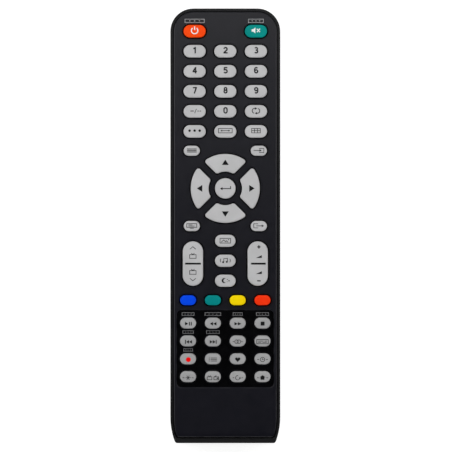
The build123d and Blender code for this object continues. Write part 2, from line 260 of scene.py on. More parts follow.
studio = {
    "floorSize": 6,            # m
    "floorGlow": 0.84,
    "floorTone": 0.45,
    # the world's brightness from straight below, at 0, over the skyline, at 0.5, to straight above
    "sky": ((0, 0.50), (0.47, 0.50), (0.52, 0.64), (0.75, 0.288), (0.93, 0)),
    "tailShare": 0.35,         # how bright it is beyond the tail, as a share of the head side
    "tailReach": 0.6,          # how far it goes on changing towards both, 1 is the skyline
}
lamps = {
    # name: place, aim, size (m) and power (W)
    "headSoftbox": ((0, 0.22, 0.44), (0, 0.06, 0.02), (0.50, 0.20), 0.80),
    "tailSoftbox": ((0, -0.60, 0.22), (0, -0.05, 0.02), (0.50, 0.10), 0.75),
    "leftSoftbox": ((-0.45, 0.06, 0.32), (0, 0.02, 0.02), (0.3, 0.5), 1.5),
    "rightSoftbox": ((0.45, 0.06, 0.32), (0, 0.02, 0.02), (0.3, 0.5), 1.28),
}


def makeFloor():
    bpy.ops.mesh.primitive_plane_add(size=studio["floorSize"], location=(0, 0, 0))
    floor = bpy.context.object
    floor.name = "floor"
    material = bpy.data.materials.new("floorWhite")
    material.use_nodes = True
    tree = material.node_tree
    tree.nodes.clear()
    # white and lit from above, with the shadow kept; open to all other light
    white = shaderNode(tree, "BsdfDiffuse", {"Color": (studio["floorTone"],) * 3 + (1,)})
    glow = shaderNode(tree, "Emission", {"Strength": studio["floorGlow"]})
    both = shaderNode(tree, "AddShader")
    clear = shaderNode(tree, "BsdfTransparent")
    lightPath = shaderNode(tree, "LightPath")
    geometry = shaderNode(tree, "NewGeometry")
    seenFromAbove = shaderNode(tree, "Math")
    seenFromAbove.operation = "SUBTRACT"
    seenFromAbove.use_clamp = True
    mix = shaderNode(tree, "MixShader")
    output = shaderNode(tree, "OutputMaterial")
    wire(tree,
         (lightPath.outputs["Is Camera Ray"], seenFromAbove.inputs[0]),
         (geometry.outputs["Backfacing"], seenFromAbove.inputs[1]),
         (seenFromAbove.outputs[0], mix.inputs[0]),
         (clear.outputs[0], mix.inputs[1]),
         (white.outputs[0], both.inputs[0]),
         (glow.outputs[0], both.inputs[1]),
         (both.outputs[0], mix.inputs[2]),
         (mix.outputs[0], output.inputs[0]))
    floor.data.materials.append(material)


def makeWorld():
    # a pale skyline that darkens towards the top, and plain white to the camera
    world = bpy.data.worlds.new("studioWorld")
    bpy.context.scene.world = world
    world.use_nodes = True
    tree = world.node_tree
    tree.nodes.clear()
    place = shaderNode(tree, "TexCoord")
    split = shaderNode(tree, "SeparateXYZ")
    level = shaderNode(tree, "MapRange", {"From Min": -1, "From Max": 1})
    ramp = shaderNode(tree, "ValToRGB")
    stops = ramp.color_ramp.elements
    for index, (position, grey) in enumerate(studio["sky"]):
        stop = stops[index] if index < 2 else stops.new(position)     # a new ramp has two
        stop.position = position
        stop.color = (grey, grey, grey, 1)
    fall = shaderNode(tree, "MapRange", {
        "From Min": -studio["tailReach"], "From Max": studio["tailReach"],
        "To Min": studio["tailShare"], "To Max": 1})
    light = shaderNode(tree, "Background")
    plain = shaderNode(tree, "Background", {"Color": (1, 1, 1, 1)})
    lightPath = shaderNode(tree, "LightPath")
    mix = shaderNode(tree, "MixShader")
    output = shaderNode(tree, "OutputWorld")
    wire(tree,
         (place.outputs["Generated"], split.inputs[0]),
         (split.outputs["Z"], level.inputs["Value"]),
         (level.outputs["Result"], ramp.inputs["Fac"]),
         (ramp.outputs["Color"], light.inputs["Color"]),
         (split.outputs["Y"], fall.inputs["Value"]),
         (fall.outputs["Result"], light.inputs["Strength"]),
         (lightPath.outputs["Is Camera Ray"], mix.inputs[0]),
         (light.outputs[0], mix.inputs[1]),
         (plain.outputs[0], mix.inputs[2]),
         (mix.outputs[0], output.inputs[0]))


def makeLamps():
    for name, (place, aim, size, power) in lamps.items():
        bpy.ops.object.light_add(type="AREA", location=place)
        lamp = bpy.context.object
        lamp.name = name
        lamp.data.shape = "RECTANGLE"
        lamp.data.size, lamp.data.size_y = size
        lamp.data.energy = power
        lamp.rotation_euler = (Vector(place) - Vector(aim)).to_track_quat("Z", "Y").to_euler()


makeFloor()
makeWorld()
makeLamps()
bpy.context.scene.view_settings.view_transform = "Standard"
print("studio lit")


# Finishes: moulded plastic, rubber, ink and metal

plainLook = {
    "shine": 0.5,
    "metal": 0,
    "coat": 0,
    "coatRoughness": 0.1,
    "ior": 1.5,
    "cloudSize": 9,            # mm, of the patches of the two tones
    "cloudDetail": 4,
    "cloudRange": (0.35, 0.65),    # of the noise, between the one tone and the other
    "sheenSize": 2.5,          # mm, of the patches of the two roughnesses
    "sheenDetail": 3,
    "sheenRange": (0.3, 0.7),
    "grainSize": 0.22,         # mm
    "grainDepth": 0.02,        # mm
    "grainDetail": 2,
    "grain": 0.2,
}
capRubber = {"roughness": (0.50, 0.60), "shine": 0.25, "grain": 0.25, "grainSize": 0.18}
colourRubber = {"roughness": (0.46, 0.55), "shine": 0.06}
dryInk = {"roughness": (0.45, 0.55)}
looks = {
    "faceBlack": {"tones": ((0.0044, 0.0044, 0.0082), (0.0054, 0.0054, 0.0096)),
                  "roughness": (0.34, 0.39), "shine": 0.33, "grain": 0.35, "grainSize": 0.25},
    "tubBlack": {"tones": ((0.0050, 0.0050, 0.0058), (0.0068, 0.0068, 0.0078)),
                 "roughness": (0.42, 0.50), "shine": 0.22,
                 "grain": 0.45, "grainSize": 0.3, "grainDepth": 0.03},
    "panelBlack": {"tones": ((0.0012, 0.0012, 0.0016), (0.002, 0.002, 0.0026)),
                   "roughness": (0.16, 0.22), "grain": 0.08, "grainSize": 0.5},
    "greyRubber": {**capRubber, "tones": ((0.51, 0.51, 0.515), (0.55, 0.55, 0.555))},
    # painted shade: the same grey rubber, made darker to paint the light falling off towards the tail
    "panelRubberPaintedShade": {**capRubber, "tones": ((0.38, 0.38, 0.383), (0.42, 0.42, 0.423))},
    "orangeRubber": {**colourRubber, "tones": ((0.98, 0.066, 0.004), (1.0, 0.078, 0.006))},
    "tealRubber": {**colourRubber, "tones": ((0.001, 0.26, 0.235), (0.002, 0.29, 0.26))},
    "blueRubber": {**colourRubber, "tones": ((0.0005, 0.062, 0.82), (0.001, 0.074, 0.90))},
    "greenRubber": {**colourRubber, "tones": ((0.0005, 0.245, 0.245), (0.001, 0.275, 0.27))},
    "yellowRubber": {**colourRubber, "tones": ((1.0, 0.71, 0.0005), (1.0, 0.77, 0.001))},
    "redRubber": {**colourRubber, "tones": ((1.0, 0.036, 0.004), (1.0, 0.046, 0.006))},
    # painted shade: the foot, ears and pegs under the face plate are made near black, so that the gap
    # round each key reads dark
    "footRubberPaintedShade": {"tones": ((0.006, 0.006, 0.0065), (0.009, 0.009, 0.0095)),
                   "roughness": (0.55, 0.65), "shine": 0.1},
    "inkBlack": {**dryInk, "tones": ((0.003, 0.003, 0.0034), (0.006, 0.006, 0.0066)), "shine": 0.15},
    "inkWhite": {**dryInk, "tones": ((0.86, 0.88, 0.86), (0.92, 0.94, 0.92))},
    "inkPale": {**dryInk, "tones": ((0.34, 0.34, 0.35), (0.40, 0.40, 0.41))},
    "inkDim": {**dryInk, "tones": ((0.16, 0.16, 0.165), (0.20, 0.20, 0.205))},
    "inkRed": {**dryInk, "tones": ((0.93, 0.002, 0.002), (1.0, 0.004, 0.004)), "shine": 0.06},
    # painted shade: the grey mat is made near black, so that the gaps round the rockers, where it shows,
    # read as shade
    "matPaintedGapShade": {"tones": ((0.030, 0.030, 0.031), (0.040, 0.040, 0.041)),
                "roughness": (0.6, 0.75), "shine": 0.2},
    "boardGreen": {"tones": ((0.010, 0.10, 0.035), (0.014, 0.13, 0.045)),
                   "roughness": (0.3, 0.4), "coat": 0.4},
    "partBlack": {"tones": ((0.012, 0.012, 0.013), (0.02, 0.02, 0.021)), "roughness": (0.45, 0.6)},
    "springSteel": {"tones": ((0.55, 0.54, 0.52), (0.68, 0.67, 0.65)),
                    "roughness": (0.22, 0.38), "metal": 1},
    "cellJacket": {"tones": ((0.015, 0.05, 0.11), (0.02, 0.06, 0.13)),
                   "roughness": (0.22, 0.3), "coat": 0.3},
    "cellBand": {"tones": ((0.42, 0.41, 0.38), (0.48, 0.47, 0.44)),
                 "roughness": (0.22, 0.3), "coat": 0.3},
    "windowDark": {"tones": ((0.010, 0.002, 0.003), (0.016, 0.003, 0.004)),
                   "roughness": (0.06, 0.1), "coat": 0.5, "grain": 0.02},
}
nodeFinish = {
    "infrared_window": "windowDark",
    "circuit_board": "boardGreen",
    "keypad_mat": "matPaintedGapShade",
    "board_components": "partBlack",
    "battery_contacts": "springSteel",
}


def makeFinish(name, look):
    # two close tones and a fine grain, with an uneven sheen
    look = {**plainLook, **look}
    material = bpy.data.materials.new(name)
    material.use_nodes = True
    tree = material.node_tree
    place = shaderNode(tree, "TexCoord")

    def noise(size, detail):
        texture = shaderNode(tree, "TexNoise", {"Scale": 1 / (size * mm), "Detail": detail})
        wire(tree, (place.outputs["Object"], texture.inputs["Vector"]))
        return texture.outputs["Fac"]

    shader = tree.nodes["Principled BSDF"]
    shader.inputs["IOR"].default_value = look["ior"]
    shader.inputs["Specular IOR Level"].default_value = look["shine"]
    shader.inputs["Metallic"].default_value = look["metal"]
    shader.inputs["Coat Weight"].default_value = look["coat"]
    shader.inputs["Coat Roughness"].default_value = look["coatRoughness"]
    ramp = shaderNode(tree, "ValToRGB")
    for stop, position, tone in zip(ramp.color_ramp.elements, look["cloudRange"], look["tones"]):
        stop.position = position
        stop.color = (*tone, 1)
    gloss = shaderNode(tree, "MapRange", {
        "From Min": look["sheenRange"][0], "From Max": look["sheenRange"][1],
        "To Min": look["roughness"][0], "To Max": look["roughness"][1]})
    bump = shaderNode(tree, "Bump", {"Strength": look["grain"], "Distance": look["grainDepth"] * mm})
    wire(tree,
         (noise(look["cloudSize"], look["cloudDetail"]), ramp.inputs["Fac"]),
         (ramp.outputs["Color"], shader.inputs["Base Color"]),
         (noise(look["sheenSize"], look["sheenDetail"]), gloss.inputs["Value"]),
         (gloss.outputs["Result"], shader.inputs["Roughness"]),
         (noise(look["grainSize"], look["grainDetail"]), bump.inputs["Height"]),
         (bump.outputs["Normal"], shader.inputs["Normal"]))
    return material


def setFinish(piece, *names):
    piece.data.materials.clear()
    for name in names:
        piece.data.materials.append(finish[name])


finish = {name: makeFinish(name, look) for name, look in looks.items()}
for name, look in nodeFinish.items():
    setFinish(nodes[name], look)
print("finishes ready")


# Keys: caps with soft edges and true round ends, with the foot that holds them in

capShape = {
    "roundSteps": 56,          # points round a cap
    "softEdge": 0.42,          # mm, radius of the upper edge
    "draft": 0.1,              # mm, how far the sides lean in on their way up
    "edgeSteps": 4,
    "crownWidth": 0.5,         # mm, the sloping border inside the soft edge
    "crownDrop": 0.07,
    "footMargin": 0.6,         # mm, how far the foot reaches beyond the cap
    "footThickness": 0.7,
    "footTop": 18.95,          # mm above the surface, the underside of the face plate
    "plungerShare": 0.5,       # of the cap's size
    "printRoom": 0.03,         # mm, left over the cap for the mark printed on it
}
fixings = {
    "pegWidth": 3.0,           # mm
    "pegLength": 2.6,
    "pegPlace": 6.8,           # from the middle of a long key
    "earLength": 5.0,
    "earPlay": 0.25,
    "ribLength": 1.2,
    "ribPlay": 0.1,
    "overlap": 0.05,           # how far one block reaches into the next
    "softness": 0.15,          # of a block's lower edges
    "softSteps": 2,
}
padShape = {
    "outerRadius": 15.15,      # mm
    "innerRadius": 7.27,
    "gap": 3.5,
    "outerCorner": 1.35,       # mm, how far from its corners an arm's rounding starts
    "innerCorner": 0.8,
    "clearOfCorner": 1.15,     # steps of the outline stay this many times as far from a corner
    "outerSteps": 64,
    "innerSteps": 48,
    "cornerSteps": 6,
    "joinFlats": 0.5,          # degrees
}


def pillPrism(width, length, low, high):
    # a cylinder whose halves are drawn apart
    pill = cylinder(capShape["roundSteps"], min(width, length) / 2, low, high)
    axis = 0 if width > length else 1
    reach = abs(width - length) / 2
    if reach > 0:
        for side in (-1, 1):
            offset = [0, 0, 0]
            offset[axis] = side * reach
            shift(pill, lambda point: point.co[axis] * side > 0, *offset)
    return pill


def armPrism(grow, low, high):
    # one arm of the direction pad, pointing to the head, round the pad's middle
    outer, inner = padShape["outerRadius"] * mm + grow, padShape["innerRadius"] * mm - grow
    rise = high - low
    arm = cylinder(padShape["outerSteps"], outer, low, high)
    cutWith(arm, cylinder(padShape["innerSteps"], inner, low - rise / 2, high + rise / 2))
    tip = (padShape["gap"] * mm / 2 - grow) * math.sqrt(2)
    for side in (-1, 1):
        pickAll(arm)
        bpy.ops.mesh.bisect(plane_co=(0, tip, 0), plane_no=(side, -1, 0), use_fill=True, clear_outer=True)
    pickAll(arm)
    bpy.ops.mesh.remove_doubles(threshold=hair)
    bpy.ops.mesh.dissolve_limited(angle_limit=math.radians(padShape["joinFlats"]))
    clearSelection()
    least, most = extent(arm.data.vertices)
    corners = (
        (lambda place: abs(place.x) > most.x - near, padShape["outerCorner"] * mm + grow),
        (lambda place: place.y < least.y + near, padShape["innerCorner"] * mm),
    )
    for isCorner, radius in corners:
        tips = [point.co.copy() for point in arm.data.vertices if isCorner(point.co)]

        def isUpright(edge):
            start, end = endsOf(arm, edge)
            return abs(start.z - end.z) > rise / 2

        def isTooNear(edge):
            start = endsOf(arm, edge)[0]
            reach = radius * padShape["clearOfCorner"]
            return isUpright(edge) and not isCorner(start) and \
                min((start - tip).xy.length for tip in tips) < reach

        # steps of the round that lie too near a corner go first
        pick(arm, "EDGE", isTooNear)
        bpy.ops.mesh.dissolve_edges(use_verts=True)
        clearSelection()
        bevel(arm, lambda edge: isUpright(edge) and isCorner(endsOf(arm, edge)[0]),
              radius, padShape["cornerSteps"])
    return arm


def softenTop(cap):
    # sides that lean in, a soft upper edge, then a slight slope down to it all round
    least, most = extent(cap.data.vertices)
    middle = ((least.x + most.x) / 2, (least.y + most.y) / 2, 0)
    drawnIn = [1 - 2 * capShape["draft"] * mm / (most[axis] - least[axis]) for axis in (0, 1)]
    stretch(cap, lambda point: point.co.z > most.z - hair, (*drawnIn, 1), middle)
    bevel(cap, lambda edge: all(end.z > most.z - hair for end in endsOf(cap, edge)),
          capShape["softEdge"] * mm, capShape["edgeSteps"])
    pick(cap, "FACE", lambda face: isUp(face) and face.center.z > most.z - hair)
    bpy.ops.mesh.inset(thickness=capShape["crownWidth"] * mm)
    clearSelection()
    inside = {end for face in cap.data.polygons if face.select for end in face.vertices}
    shift(cap, lambda point: point.index not in inside and point.co.z > footTop + near,
          z=-capShape["crownDrop"] * mm)


def brick(x, y, width, length, low, high, softness=fixings["softness"]):
    # a small block in mm with its lower edges taken off, for what is inside the case
    block = cube(x * mm, y * mm, width * mm, length * mm, low * mm, high * mm)
    bevel(block, lambda edge: all(end.z < low * mm + near for end in endsOf(block, edge)),
          softness * mm, fixings["softSteps"])
    return block


def peg(x, y):
    return brick(x, y, fixings["pegWidth"], fixings["pegLength"], plungerBottom / mm,
                 capShape["footTop"] - capShape["footThickness"] + fixings["overlap"])


def pickUnderside(cap):
    low = extent(cap.data.vertices)[0].z
    pick(cap, "FACE", lambda face: isDown(face) and face.center.z < low + hair)
    return low


def addFoot(cap):
    # the flange under the face plate
    pickUnderside(cap)
    extrude()
    clearSelection()
    least, most = extent([point for point in cap.data.vertices if point.select])
    wider = 2 * capShape["footMargin"] * mm
    grown = (1 + wider / (most.x - least.x), 1 + wider / (most.y - least.y), 1)
    bpy.ops.object.mode_set(mode="EDIT")
    bpy.ops.transform.resize(value=grown, center_override=(least + most) / 2)
    extrude(z=-capShape["footThickness"] * mm)
    clearSelection()


def addPlunger(cap):
    # the middle of the foot goes down to the board
    low = pickUnderside(cap)
    share = capShape["plungerShare"]
    extrude()
    bpy.ops.transform.resize(value=(share, share, 1), center_override=(0, 0, low))
    extrude(z=plungerBottom - low)
    clearSelection()


def capSize(name):
    # a key's width and length in mm, without its foot; a long key has no foot at its ends
    low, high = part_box(name)
    margin = 2 * capShape["footMargin"] * mm
    length = high.y - low.y - (0 if name in rockers else margin)
    return (high.x - low.x - margin) / mm, length / mm


def capMiddle(name):
    low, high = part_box(name)
    return ((low.x + high.x) / 2, (low.y + high.y) / 2)


keyColours = {
    "power_key": "orange",
    "mute_key": "teal",
    "blue_key": "blue",
    "green_key": "green",
    "yellow_key": "yellow",
    "red_key": "red",
}
panelKeys = (
    "play_pause_key", "rewind_key", "fast_forward_key", "stop_key",
    "previous_key", "next_key", "audio_key", "subtitle_key",
    "record_key", "list_key", "favourite_key", "timeshift_key",
    "freeze_key", "tv_radio_key", "auto_key", "home_key",
)
armTurns = {"up_key": 0, "left_key": 90, "down_key": 180, "right_key": 270}
rockers = ("channel_rocker", "volume_rocker")
plainKeys = [name for name in nodes if name.endswith("_key") and name not in armTurns]
footTop = capShape["footTop"] * mm
keyTop = max(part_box(name)[1].z for name in nodes if name.endswith("_key"))
capTop = keyTop - capShape["printRoom"] * mm
padMiddle = capMiddle("enter_key")
armMiddle = (padShape["outerRadius"] + padShape["innerRadius"]) / 2
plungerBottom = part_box("enter_key")[0].z


def atEachKey(makeModel):
    # models a key once for each size, and puts a copy at every plain key of that size
    models, copies = {}, {}
    for name in plainKeys:
        size = tuple(round(side, 2) for side in capSize(name))
        if size not in models:
            models[size] = makeModel(name, size[0] * mm, size[1] * mm)
        copies[name] = moved(copyOf(models[size], name.replace("_key", "Cap")), *capMiddle(name))
    for model in models.values():
        bpy.data.objects.remove(model, do_unlink=True)
    return copies


def atEachArm(arm):
    # turns copies of the pad's upper arm round its middle
    copies = {}
    for name, turn in armTurns.items():
        copies[name] = copyOf(arm, name.replace("_key", "Cap"))
        copies[name].rotation_euler = (0, 0, math.radians(turn))
        applyPlace(copies[name])
        moved(copies[name], *padMiddle)
    bpy.data.objects.remove(arm, do_unlink=True)
    return copies


def makePlainCap(name, width, length):
    cap = pillPrism(width, length, footTop, capTop)
    softenTop(cap)
    addFoot(cap)
    if name == "enter_key":
        return joined([cap, peg(0, 0)])
    addPlunger(cap)
    return cap


def makeArm():
    arm = armPrism(0, footTop, capTop)
    softenTop(arm)
    addFoot(arm)
    return joined([arm, peg(0, armMiddle)])


def makeRocker(name):
    # a long key, with ears under the face plate, the rib that it tips on, and its two pegs
    width, length = capSize(name)
    cap = pillPrism(width * mm, length * mm, footTop - capShape["footThickness"] * mm, capTop)
    softenTop(cap)
    top = capShape["footTop"] - capShape["footThickness"] + fixings["overlap"]
    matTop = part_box("keypad_mat")[1].z / mm
    ears = brick(0, 0, width + 2 * capShape["footMargin"], fixings["earLength"],
                 top, capShape["footTop"] - fixings["earPlay"])
    rib = brick(0, 0, width / 2, fixings["ribLength"], matTop + fixings["ribPlay"], top)
    cap = joined([cap, ears, rib, peg(0, fixings["pegPlace"]), peg(0, -fixings["pegPlace"])])
    cap.name = name.replace("_rocker", "Cap")
    return moved(cap, *capMiddle(name))


def finishCaps():
    for name, cap in caps.items():
        colour = keyColours.get(name, "grey")
        # the panel's keys get the darker copy of the grey rubber, which paints the shade towards the tail
        setFinish(cap, "panelRubberPaintedShade" if name in panelKeys else colour + "Rubber", "footRubberPaintedShade")
        for face in cap.data.polygons:
            # faces under the face plate get the near-black rubber that paints the shade in the gap round
            # each key
            face.material_index = 1 if face.center.z < footTop + near else 0
        done(cap)
        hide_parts(name)
        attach(cap, name)


caps = {**atEachKey(makePlainCap), **atEachArm(makeArm())}
for name in rockers:
    caps[name] = makeRocker(name)
print(len(caps), "key caps modelled")
finishCaps()


# Face plate

plateShape = {
    "caseWidth": 48.0,         # mm
    "rim": 1.1,
    "groove": 0.4,
    "headCorner": 8.5,
    "headSteps": 20,
    "tailCorner": 1.3,
    "tailCornerSteps": 6,
    "taperLength": 11.4,       # where the sides curve in towards the tail
    "taperDepth": 2.2,
    "taperStations": 12,
    "taperEnd": 1.1,           # the last station, in tail corners from the end
    "tailRim": 2.2,
    "slopeLength": 5.0,        # where the face bends down towards the tail
    "slopeDrop": 1.2,
    "lipInset": 0.75,
    "lipThickness": 1.0,
    "lipDepth": 2.3,
    "edgeRound": 0.4,
    "edgeSteps": 4,
    "holeRound": 0.12,
    "holeSteps": 2,
    "keyGap": 0.45,
    "rockerGap": 0.5,
}
snapShape = {
    "count": 4,                # on each side
    "first": 70.0,             # mm from the middle of the case
    "pitch": 45.0,
    "length": 6.0,
    "height": 0.8,
    "low": 16.9,
    "reach": (21.25, 22.3),    # mm, from inside the lip to the catch's edge
    "softness": 0.35,
}
panelShape = {
    "halfWidth": 21.4,         # mm
    "overFirstRow": 5.7,
    "underLastRow": 5.15,
    "corner": 2.0,
    "cornerSteps": 8,
    "depth": 0.4,
    "sideSlope": 0.25,         # how far its side walls lean out
    "tailSlope": 0.55,         # and its wall at the tail end
}
plateInset = (plateShape["rim"] + plateShape["groove"]) * mm
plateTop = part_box("top_case")[1].z
panelFloor = plateTop - panelShape["depth"] * mm


def arcRadius(length, drop):
    # of an arc that starts level and falls by drop over its length
    return (length ** 2 + drop ** 2) / (2 * drop)


def edgeHalfWidth(y, inset):
    # half the width of the case at a place along it, drawn in by an inset
    half = plateShape["caseWidth"] * mm / 2
    length = plateShape["taperLength"] * mm
    run = cadBox[0].y + length - y
    if run <= 0:
        return half - inset
    radius = arcRadius(length, plateShape["taperDepth"] * mm)
    return half - radius + math.sqrt((radius - inset) ** 2 - run ** 2)


def slopeFall(y):
    # how far the face has bent down at a place near the tail
    length = plateShape["slopeLength"] * mm
    run = max(0, cadBox[0].y + length - y)
    radius = arcRadius(length, plateShape["slopeDrop"] * mm)
    return radius - math.sqrt(radius ** 2 - run ** 2)


def edgeTest(piece, isWanted):
    # a test for edges by the places of their ends and the normals of their two faces
    normals = {}
    for face in piece.data.polygons:
        for key in face.edge_keys:
            normals.setdefault(key, []).append(face.normal.copy())

    def test(edge):
        sides = normals.get(edge.key, [])
        return len(sides) == 2 and isWanted(endsOf(piece, edge), sides)
    return test


def isTopEdge(ends, sides):
    # between a face that looks up and one that looks sideways
    heights = [side.z for side in sides]
    return max(heights) > facing["up"] and abs(min(heights)) < facing["sideways"]


def tailStations(tail):
    start = cadBox[0].y + plateShape["taperLength"] * mm
    count = plateShape["taperStations"]
    length = start - tail - plateShape["taperEnd"] * plateShape["tailCorner"] * mm
    return [start - length * step / count for step in range(count + 1)]


def makePlateBlank():
    tail = cadBox[0].y + (plateShape["tailRim"] + plateShape["groove"]) * mm
    head = cadBox[1].y - plateInset
    half = plateShape["caseWidth"] * mm / 2 - plateInset
    plate = cube(0, (head + tail) / 2, 2 * half, head - tail, footTop, plateTop)
    plate.name = "facePlate"

    def isUpright(edge):
        start, end = endsOf(plate, edge)
        return abs(start.z - end.z) > (plateTop - footTop) / 4 and (start - end).xy.length < hair

    bevel(plate, lambda edge: isUpright(edge) and endsOf(plate, edge)[0].y > head - mm,
          plateShape["headCorner"] * mm, plateShape["headSteps"])
    # the lip under the edge
    pick(plate, "FACE", isDown)
    for inset, side in (("lipInset", -1), ("lipThickness", 1)):
        bpy.ops.mesh.inset(thickness=plateShape[inset] * mm)
        extrude(z=side * plateShape["lipDepth"] * mm)
    clearSelection()
    # stations towards the tail, where the sides curve in and the face bends down
    stations = tailStations(tail)
    for y in stations:
        pickAll(plate)
        bpy.ops.mesh.bisect(plane_co=(0, y, 0), plane_no=(0, 1, 0))
    for y in stations + [tail]:
        narrowed = edgeHalfWidth(y, plateInset) / half
        stretch(plate, lambda point: abs(point.co.y - y) < near, (narrowed, 1, 1), (0, y, 0))
        shift(plate, lambda point: abs(point.co.y - y) < near and point.co.z > plateTop - near,
              z=-slopeFall(y))
    outside = edgeHalfWidth(tail, plateInset) - near
    bevel(plate, lambda edge: isUpright(edge) and
          all(end.y < tail + near and abs(end.x) > outside for end in endsOf(plate, edge)),
          plateShape["tailCorner"] * mm, plateShape["tailCornerSteps"])
    return plate


def panelCutter():
    head = capMiddle("play_pause_key")[1] + panelShape["overFirstRow"] * mm
    tail = capMiddle("home_key")[1] - panelShape["underLastRow"] * mm
    middle = (head + tail) / 2
    depth = plateTop - panelFloor
    half = panelShape["halfWidth"] * mm
    cutter = cube(0, middle, 2 * half, head - tail, panelFloor, plateTop + mm)

    def isUpright(edge):
        start, end = endsOf(cutter, edge)
        return abs(start.z - end.z) > depth

    bevel(cutter, isUpright, panelShape["corner"] * mm, panelShape["cornerSteps"])
    # the walls lean out: the floor is drawn in from the rim, and what is over the face goes on outwards
    for isHigh, lean in ((True, mm / depth), (False, -1)):
        across = (half + panelShape["sideSlope"] * mm * lean) / half
        stretch(cutter, lambda point: (point.co.z > plateTop) == isHigh, (across, 1, 1))
        shift(cutter, lambda point: (point.co.z > plateTop) == isHigh and point.co.y < middle,
              y=-panelShape["tailSlope"] * mm * lean)
    return cutter


def keyCutters():
    low, high = footTop - mm, capTop + mm
    gap = plateShape["keyGap"] * mm

    def makeCutter(name, width, length):
        return pillPrism(width + 2 * gap, length + 2 * gap, low, high)

    cutters = [*atEachKey(makeCutter).values(), *atEachArm(armPrism(gap, low, high)).values()]
    for name in rockers:
        width, length = [(side + 2 * plateShape["rockerGap"]) * mm for side in capSize(name)]
        cutters.append(moved(pillPrism(width, length, low, high), *capMiddle(name)))
    return joined(cutters)


def roundHoles(plate):
    # the upper edges of the openings, away from the plate's own edge
    inset = plateInset + 2 * plateShape["edgeRound"] * mm

    def isHoleEdge(ends, sides):
        level = all(min(abs(end.z - plateTop), abs(end.z - panelFloor)) < near for end in ends)
        inside = all(abs(end.x) <= edgeHalfWidth(end.y, inset) for end in ends)
        return level and inside and isTopEdge(ends, sides)

    bevel(plate, edgeTest(plate, isHoleEdge), plateShape["holeRound"] * mm, plateShape["holeSteps"])


def makeSnaps():
    # catches along the lip, which click into the wall of the tub
    inner, outer = snapShape["reach"]
    snaps = []
    for step in range(snapShape["count"]):
        y = snapShape["first"] - step * snapShape["pitch"]
        for side in (-1, 1):
            snaps.append(brick(side * (inner + outer) / 2, y, outer - inner, snapShape["length"],
                               snapShape["low"], snapShape["low"] + snapShape["height"],
                               snapShape["softness"]))
    return snaps


def makePlate():
    plate = makePlateBlank()
    bevel(plate, edgeTest(plate, isTopEdge), plateShape["edgeRound"] * mm, plateShape["edgeSteps"])
    cutWith(plate, panelCutter())
    cutWith(plate, keyCutters())
    roundHoles(plate)
    plate = joined([plate, *makeSnaps()])
    setFinish(plate, "faceBlack", "panelBlack")
    for face in plate.data.polygons:
        inPanel = abs(face.center.z - panelFloor) < near and isUp(face)
        face.material_index = 1 if inPanel else 0
    done(plate)
    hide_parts("top_case")
    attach(plate, "case")


makePlate()
print("face plate modelled")


# Tub and battery cover: the solids' own meshes, made whole, with their sharp outer edges taken off

shellShape = {
    "rimSoftness": 0.14,       # mm, radius of the tub's outer upper edge
    "rimSlack": 0.1,           # mm, how far below the rim an edge may lie and still be of it
    "coverSoftness": 0.25,     # mm, radius of the cover's outer edges
    "coverBorder": (1.5, 2.5),   # mm, how far from its sides and its head end they may lie
    "softSteps": 2,
    "sharpFrom": 40,           # degrees
    "joinFlats": 0.3,
    "smoothAngle": 30,
}


def wholeCopy(node, name):
    # a CAD mesh is loose triangles, so its doubles are merged and its flats made single faces
    piece = copyOf(nodes[node], name)
    pickAll(piece)
    bpy.ops.mesh.remove_doubles(threshold=hair)
    bpy.ops.mesh.dissolve_limited(angle_limit=math.radians(shellShape["joinFlats"]))
    clearSelection()
    setFinish(piece, "tubBlack")
    return piece


def isSharp(sides):
    return sides[0].angle(sides[1]) >= math.radians(shellShape["sharpFrom"])


def isHeadCorner(point, reach):
    # near the outer edge in a round corner at the head
    corner = plateShape["headCorner"] * mm + plateInset
    x = abs(point.x) - plateShape["caseWidth"] * mm / 2 + corner
    y = point.y - cadBox[1].y + corner
    return x > 0 and y > 0 and math.hypot(x, y) > corner - reach


def makeTub():
    tub = wholeCopy("bottom_case", "tub")
    low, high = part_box("bottom_case")
    reach = plateShape["rim"] / 2 * mm
    rimLow = high.z - (plateShape["slopeDrop"] + shellShape["rimSlack"]) * mm

    def isOutside(place):
        return (abs(place.x) > edgeHalfWidth(place.y, reach) or place.y > high.y - reach
                or place.y < low.y + reach or isHeadCorner(place, reach))

    def isRim(ends, sides):
        return isSharp(sides) and all(isOutside(end) and end.z > rimLow for end in ends) and \
            max(side.z for side in sides) > facing["up"]

    bevel(tub, edgeTest(tub, isRim), shellShape["rimSoftness"] * mm, shellShape["softSteps"])
    # the bevel's points stay inside the tail
    stretch(tub, lambda point: point.co.y < low.y, (1, 0, 1), (0, low.y, 0))
    done(tub, shellShape["smoothAngle"])
    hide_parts("bottom_case")
    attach(tub, "case")


def makeCover():
    cover = wholeCopy("battery_cover", "batteryDoor")
    low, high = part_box("battery_cover")
    sideFrom = high.x - shellShape["coverBorder"][0] * mm
    headFrom = high.y - shellShape["coverBorder"][1] * mm

    def isOuter(ends, sides):
        # round the underside, but not in the thumb grip
        heights = [side.z for side in sides]
        under = min(heights) < -facing["up"]
        sideways = min(abs(height) for height in heights) < facing["sideways"]
        outside = all(abs(end.x) > sideFrom or end.y > headFrom for end in ends)
        return isSharp(sides) and under and sideways and outside and \
            all(end.z < low.z + mm for end in ends)

    bevel(cover, edgeTest(cover, isOuter), shellShape["coverSoftness"] * mm, shellShape["softSteps"])
    done(cover, shellShape["smoothAngle"])
    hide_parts("battery_cover")
    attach(cover, "battery_cover")


makeTub()
makeCover()
print("tub and battery cover finished")


# Cells: two of them, side by side and opposite ways round

